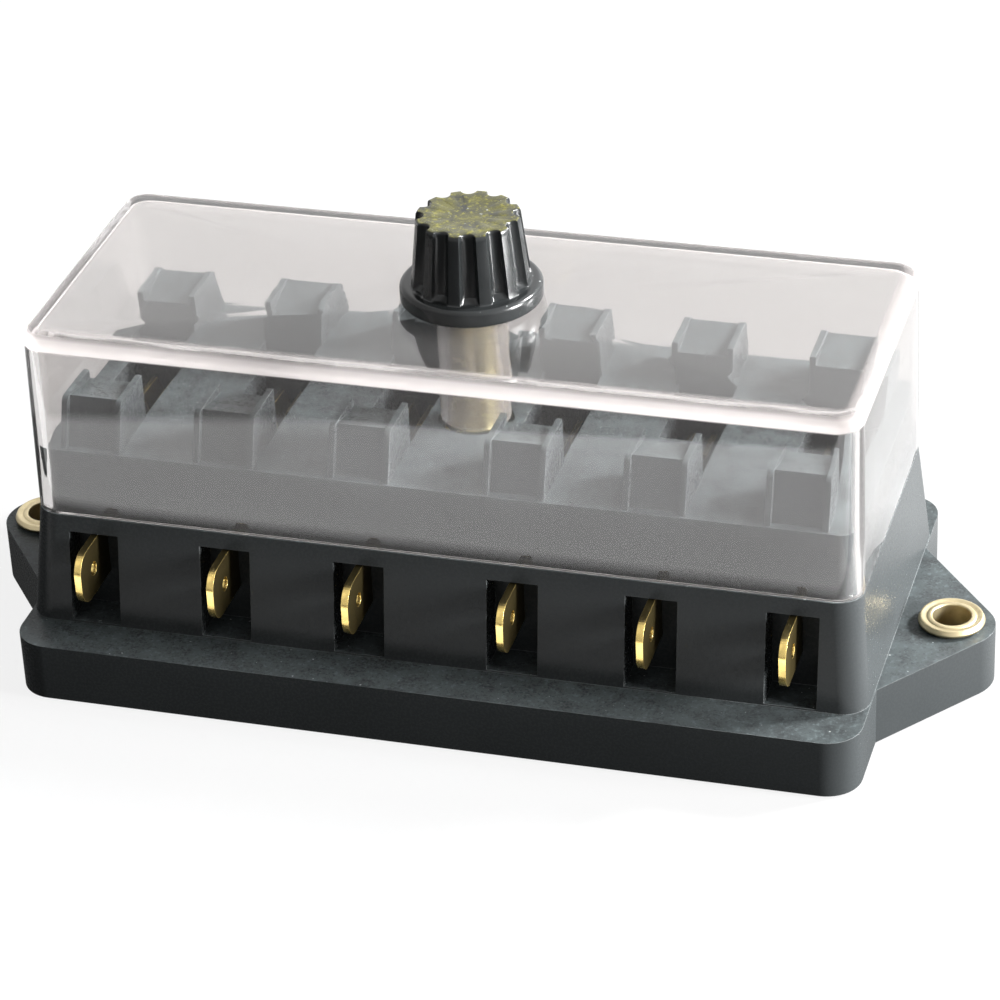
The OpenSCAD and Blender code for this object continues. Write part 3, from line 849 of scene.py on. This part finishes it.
class MakeKnob(bpy.types.Operator):
    """Black fluted knob with a round skirt"""

    bl_idname = "fuse.knob"
    bl_label = "Knob"

    def execute(self, context):
        look = context.scene.fuse_knob
        low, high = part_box("knob")
        bottom, top, skirt = low.z / MM, high.z / MM, (high.x - low.x) / 2 / MM
        thick, grip, small = look.skirt, look.grip / 2, look.grip_top / 2
        start = bottom + thick
        profile = [(2.55, bottom + 5.5), (2.55, bottom + 0.25), (2.8, bottom), (skirt - 0.25, bottom)]
        profile += arc(skirt - 0.3, bottom + 0.3, 0.3, -60, 0, 4)
        profile += arc(skirt - 0.62, start - 0.62, 0.62, 0, 90, 8)
        profile += [(grip + 0.3, start)]
        profile += arc(grip + 0.2, start + 0.2, 0.2, 262, 190, 4)
        edge = 0.28
        for k in range(1, 17):
            height = start + 0.2 + (top - edge - start - 0.2) * k / 16
            profile.append((grip + (small - grip) * (height - start) / (top - start), height))
        profile += arc(small - edge, top - edge, edge, 15, 90, 7)
        profile += [(small - 1.2, top - 0.01), (small - 1.6, top - 0.05), (small - 2.6, top - 0.14), (small * 0.3, top - 0.18), (0, top - 0.18)]
        base = turned([(0, bottom + 5.5)] + profile, 576)
        values = {
            "Flutes": float(look.flutes),
            "Depth": look.flute_depth * MM,
            "Flute radius": 0.62 * math.pi * grip / look.flutes * MM,
            "Grip start": start * MM,
            "Run out": 0.35 * MM,
            "Grip radius": grip * MM,
            "Top radius": small * MM,
            "Top": top * MM,
        }
        black = black_moulding("knob_moulding", knob_finish(context.scene.fuse_housing), top - 0.8)
        mesh = run_tree(flute_tree(black), base, values)
        settle(mesh, "fluted_knob", black, "knob_set", ["knob"], 30.0)
        return {"FINISHED"}


class Plain:
    """A bare holder of values, to vary a look for one piece."""


def knob_finish(look):
    made = Plain()
    for name in ("black", "roughness", "sheen", "grain", "grain_depth", "dust_and_sheen", "dust_and_sheen_colour", "worn_and_highlit"):
        setattr(made, name, getattr(look, name))
    # The knob is glossier and darker; its pale share covers only the top, in olive, and is mostly painted sheen rather
    # than dust.
    made.roughness, made.grain_depth, made.dust_and_sheen, made.sheen = 0.2, look.grain_depth * 0.4, 1.1, 0.32
    made.black = [c * 0.4 for c in look.black]
    made.dust_and_sheen_colour = (0.145, 0.135, 0.02)
    return made


class MakeScrew(bpy.types.Operator):
    """Brass cover screw with a cut thread, and its retaining ring"""

    bl_idname = "fuse.screw"
    bl_label = "Cover screw"

    def execute(self, context):
        look = context.scene.fuse_brass
        low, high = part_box("knob_screw")
        bottom, top, radius = low.z / MM, high.z / MM, (high.x - low.x) / 2 / MM
        ring_low, ring_high = (p.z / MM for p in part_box("retaining_ring"))
        root, pitch = radius - 0.42, look.thread_pitch
        end = ring_low - 1.0
        profile = [(0, bottom), (radius - 0.85, bottom), (root, bottom + 0.5), (root, end)]
        profile += [(radius, end + 0.4), (radius, ring_low - 0.05), (radius - 0.25, ring_low - 0.05)]
        profile += [(radius - 0.25, ring_high + 0.05), (radius, ring_high + 0.05), (radius, top), (0, top)]
        brass = rolled_brass("screw_brass_finish", look, 0.22, look.screw)
        turns = (end - bottom - 0.9) / pitch
        values = {
            "Radius": (radius - 0.40) * MM,
            "Pitch": pitch * MM,
            "Turns": turns,
            "Low end": (bottom + 0.5) * MM,
            "Depth": 0.39 * MM,
        }
        mesh = run_tree(thread_tree(brass), turned(profile, 96), values)
        settle(mesh, "cover_screw", brass, "knob_set", ["knob_screw"], 40.0)
        ring = rounded(merged_copy("retaining_ring"), 0.12, 2)
        settle(ring, "retaining_clip", brass, "knob_set", ["retaining_ring"])
        return {"FINISHED"}


class MakeStage(bpy.types.Operator):
    """Pale floor, white surroundings, soft lamps and the camera"""

    bl_idname = "fuse.stage"
    bl_label = "Stage"

    def execute(self, context):
        look = context.scene.fuse_stage
        scene = context.scene
        scene.view_settings.view_transform = "Standard"
        mesh = bpy.data.meshes.new("floor")
        mesh.from_pydata([(-3, -3, 0), (3, -3, 0), (3, 3, 0), (-3, 3, 0)], [], [(0, 1, 2, 3)])
        f = Finish("pale_floor")
        camera, glossy = seen_directly(f)
        shade = f.mix(camera, rgba([c * look.bounce for c in look.floor]), rgba(look.floor))
        plain = f.node("ShaderNodeBsdfDiffuse", None, {"Color": shade})
        gloss = painted_table_light(f, look)
        # Glossy rays see the floor glow with the painted light and shadow of the table; the camera sees plain white.
        white = f.node("ShaderNodeEmission", None, {"Color": (1, 1, 1, 1), "Strength": camera + glossy * gloss})
        share = (camera + glossy).clamped() * look.glow
        f.surface(f.node("ShaderNodeMixShader", None, {0: share, 1: plain, 2: white}))
        mesh.materials.append(f.material)
        floor = bpy.data.objects.new("floor", mesh)
        scene.collection.objects.link(floor)

        world = bpy.data.worlds.new("white_room")
        world.use_nodes = True
        scene.world = world
        g = Graph(world.node_tree)
        g.tree.nodes.clear()
        gloss = lit_side(g, g.node("ShaderNodeTexCoord", out="Generated"), look, 1.0)
        camera, glossy = seen_directly(g)
        rest = 1.0 - camera - glossy
        strength = camera + glossy * gloss + rest * look.sky
        back = g.node("ShaderNodeBackground", None, {"Color": (1, 1, 1, 1), "Strength": strength})
        g.node("ShaderNodeOutputWorld", None, {"Surface": back})

        def lamp(name, place, aim, size, power, colour=(1, 1, 1)):
            light = bpy.data.lights.new(name, "AREA")
            light.shape, light.size, light.energy, light.color = "DISK", size, power, colour
            made = bpy.data.objects.new(name, light)
            scene.collection.objects.link(made)
            made.location = place
            made.rotation_mode = "QUATERNION"
            made.rotation_quaternion = (Vector(aim) - Vector(place)).to_track_quat("-Z", "Y")

        lamp("key", (0.7, 0.45, 0.52), (0, 0, 0.02), 0.2, look.key)
        lamp("side", (0.78, -0.04, 0.22), (0, 0, 0.02), 0.3, look.key * 0.7)
        lamp("fill", (-0.5, -0.5, 0.7), (0, 0, 0.02), 0.6, look.key * 0.012)

        turn, rise, roll = (math.radians(v) for v in (look.turn, look.height, look.roll))
        back = Vector((math.sin(turn) * math.cos(rise), -math.cos(turn) * math.cos(rise), math.sin(rise)))
        right = Vector((math.cos(turn), math.sin(turn), 0))
        up = back.cross(right)
        right, up = right * math.cos(roll) + up * math.sin(roll), up * math.cos(roll) - right * math.sin(roll)
        data = bpy.data.cameras.new("camera")
        data.sensor_width, data.lens = 36.0, look.lens
        data.clip_start, data.clip_end = 0.01, 20.0
        camera = bpy.data.objects.new("camera", data)
        scene.collection.objects.link(camera)
        place = Vector(look.target) + back * look.distance
        camera.matrix_world = Matrix.Translation(place) @ Matrix((right, up, back)).transposed().to_4x4()
        scene.camera = camera
        return {"FINISHED"}


def seen_directly(graph):
    """Two sockets: 1 for rays from the camera or through glass, and 1 for rays off a glossy face."""
    path = graph.tree.nodes.new("ShaderNodeLightPath")
    camera, glossy, through = (
        Socket(graph, path.outputs[name]) for name in ("Is Camera Ray", "Is Glossy Ray", "Is Transmission Ray")
    )
    glossy = (glossy - through).clamped()
    return (camera + through).clamped(), glossy


def lit_side(graph, place, look, reach):
    """Brightness of the room as gloss sees it: high on the lamp's side, low on the other."""
    x, y = (graph.node("ShaderNodeSeparateXYZ", None, {0: place}, k) for k in range(2))
    side = (x * 0.84 + y * 0.54).ramp(-reach * 0.6, reach * 0.6)
    return side * (look.bright - look.dim) + look.dim


def painted_table_light(graph, look):
    """Painted brightness of the table as gloss sees it: painted light to the right, behind, and in a band past the
    part's shadow in front, and a low painted shade level elsewhere.
    """
    x, y = (graph.node("ShaderNodeSeparateXYZ", None, {0: graph.place}, k) for k in range(2))
    ahead = -y
    band = ahead.ramp(0.041, 0.046) * (1.0 - (ahead - x * 0.228).ramp(0.0865, 0.0895))
    right = x.ramp(0.056, 0.076) * (1.0 - y.ramp(0.0, 0.03)) * (1.0 - ahead.ramp(0.03, 0.06))
    behind = y.ramp(0.015, 0.035)
    return band * look.band + right * look.right + behind * look.behind + look.shade


class FusePanel(bpy.types.Panel):
    """Sizes, colours and builders of the fuse block"""

    bl_idname = "VIEW3D_PT_fuse_block"
    bl_label = "Fuse block"
    bl_space_type = "VIEW_3D"
    bl_region_type = "UI"
    bl_category = "Fuse block"

    def draw(self, context):
        for operator in OPERATORS:
            self.layout.operator(operator.bl_idname)
        for name, group in LOOKS.items():
            box = self.layout.box()
            box.label(text=name.replace("fuse_", "").capitalize())
            for key in group.__annotations__:
                box.prop(getattr(context.scene, name), key)


OPERATORS = (MakeStage, MakeHousing, MakeTerminals, MakeEyelets, MakeInsert, MakeCover, MakeKnob, MakeScrew)
CLASSES = (*LOOKS.values(), *OPERATORS, FusePanel)


def register():
    for cls in CLASSES:
        bpy.utils.register_class(cls)
    for name, group in LOOKS.items():
        setattr(bpy.types.Scene, name, PointerProperty(type=group))


def unregister():
    for name in LOOKS:
        delattr(bpy.types.Scene, name)
    for cls in reversed(CLASSES):
        bpy.utils.unregister_class(cls)


def main():
    register()
    for operator in OPERATORS:
        group, name = operator.bl_idname.split(".")
        getattr(getattr(bpy.ops, group), name)()


if __name__ == "__main__":
    main()
